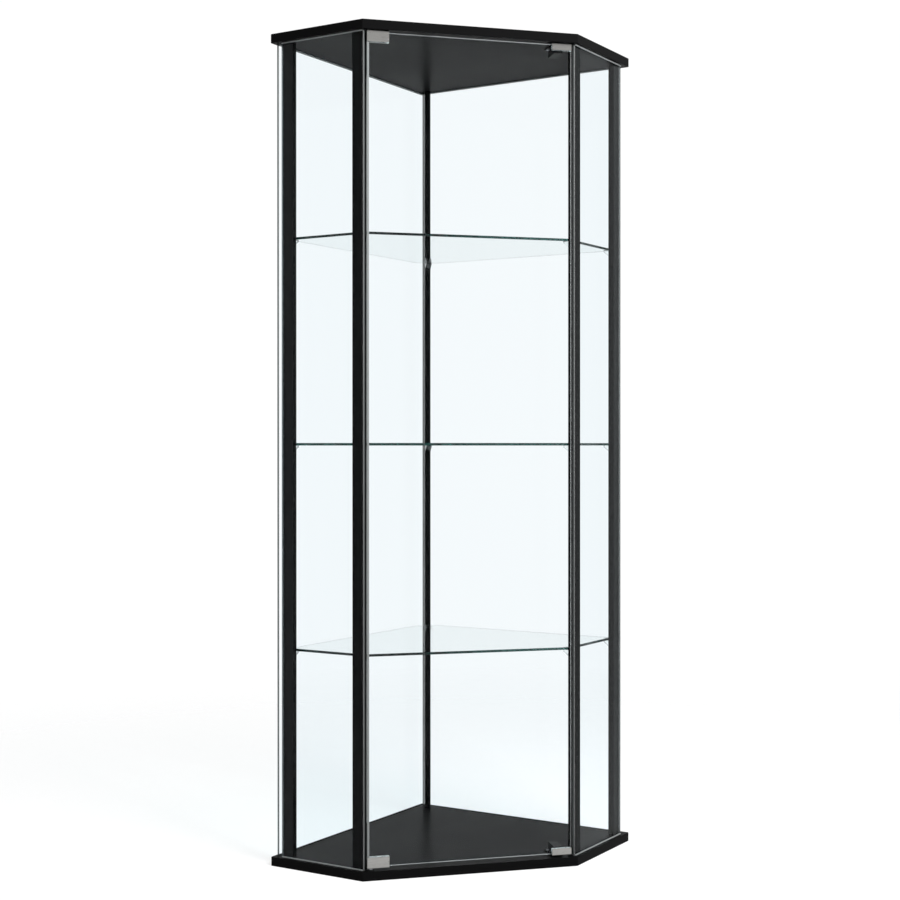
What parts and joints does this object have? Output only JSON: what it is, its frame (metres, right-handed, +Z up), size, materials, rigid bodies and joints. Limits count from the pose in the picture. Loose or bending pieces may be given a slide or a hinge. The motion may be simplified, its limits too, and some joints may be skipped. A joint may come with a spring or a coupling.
{
  "type": "corner curio cabinet",
  "caption": "Tall five-sided glass corner display cabinet with black boards and posts, glass shelves on clear pegs and a pivoting glass door.",
  "frame": {"origin": "on the floor, in the middle of the cabinet's bounding box", "axes": "+Z up, the door faces -Y, the square corner that goes into the room's corner points to +Y, +X is to the right seen from the front"},
  "size_m": [0.7456, 0.5326, 1.65],
  "materials": {
    "black_board": "satin black laminate",
    "black_post": "gloss black",
    "pane_glass": "clear polished",
    "door_glass": "clear polished",
    "shelf_glass": "clear polished, green edges",
    "satin_nickel": "satin nickel plate",
    "zinc_steel": "bright zinc plate",
    "magnet": "nickel plate",
    "clear_plastic": "clear moulded",
    "clear_vinyl": "clear soft vinyl",
    "black_rubber": "matt black glazing tape",
    "clear_sealant": "cured clear sealant",
    "black_plastic": "fine moulded",
    "nylon": "black nylon"
  },
  "bodies": {
    "cabinet": {"base_board": "black_board", "top_board": "black_board", "left_post": "black_post", "front_left_post": "black_post", "front_right_post": "black_post", "right_post": "black_post", "back_post": "black_post", "post_end_inserts": "black_plastic", "base_screws": "zinc_steel", "top_screws": "zinc_steel", "top_screw_caps": "black_plastic", "glazing_strips": "black_rubber", "left_side_beads": "clear_sealant", "right_side_beads": "clear_sealant", "back_left_beads": "clear_sealant", "back_right_beads": "clear_sealant", "left_side_pane": "pane_glass", "right_side_pane": "pane_glass", "back_left_pane": "pane_glass", "back_right_pane": "pane_glass", "lower_shelf": "shelf_glass", "middle_shelf": "shelf_glass", "upper_shelf": "shelf_glass", "lower_shelf_pegs": "clear_plastic", "middle_shelf_pegs": "clear_plastic", "upper_shelf_pegs": "clear_plastic", "lower_hinge_bush": "nylon", "upper_hinge_bush": "nylon", "lower_latch_housing": "black_plastic", "upper_latch_housing": "black_plastic", "latch_screws": "zinc_steel"},
    "door": {"door_glass": "door_glass", "lower_hinge_clamp": "satin_nickel", "upper_hinge_clamp": "satin_nickel", "lower_hinge_liner": "clear_vinyl", "upper_hinge_liner": "clear_vinyl", "lower_hinge_pin": "zinc_steel", "upper_hinge_pin": "zinc_steel", "hinge_grub_screws": "zinc_steel", "lower_strike_plate": "satin_nickel", "upper_strike_plate": "satin_nickel", "lower_strike_liner": "clear_vinyl", "upper_strike_liner": "clear_vinyl"},
    "lower_plunger": {"lower_latch_plunger": "black_plastic", "lower_latch_magnet": "magnet"},
    "upper_plunger": {"upper_latch_plunger": "black_plastic", "upper_latch_magnet": "magnet"}
  },
  "joints": [
    {"name": "door_hinge", "type": "hinge", "parent": "cabinet", "child": "door", "pos_m": [-0.1965, -0.25283, 0.8], "axis": [0, 0, -1], "range_deg": [0, 110]},
    {"name": "lower_latch_push", "type": "slide", "parent": "cabinet", "child": "lower_plunger", "axis": [0, 1, 0], "range_m": [0, 0.003], "stiffness_N_per_m": 300},
    {"name": "upper_latch_push", "type": "slide", "parent": "cabinet", "child": "upper_plunger", "axis": [0, 1, 0], "range_m": [0, 0.003], "stiffness_N_per_m": 300}
  ]
}
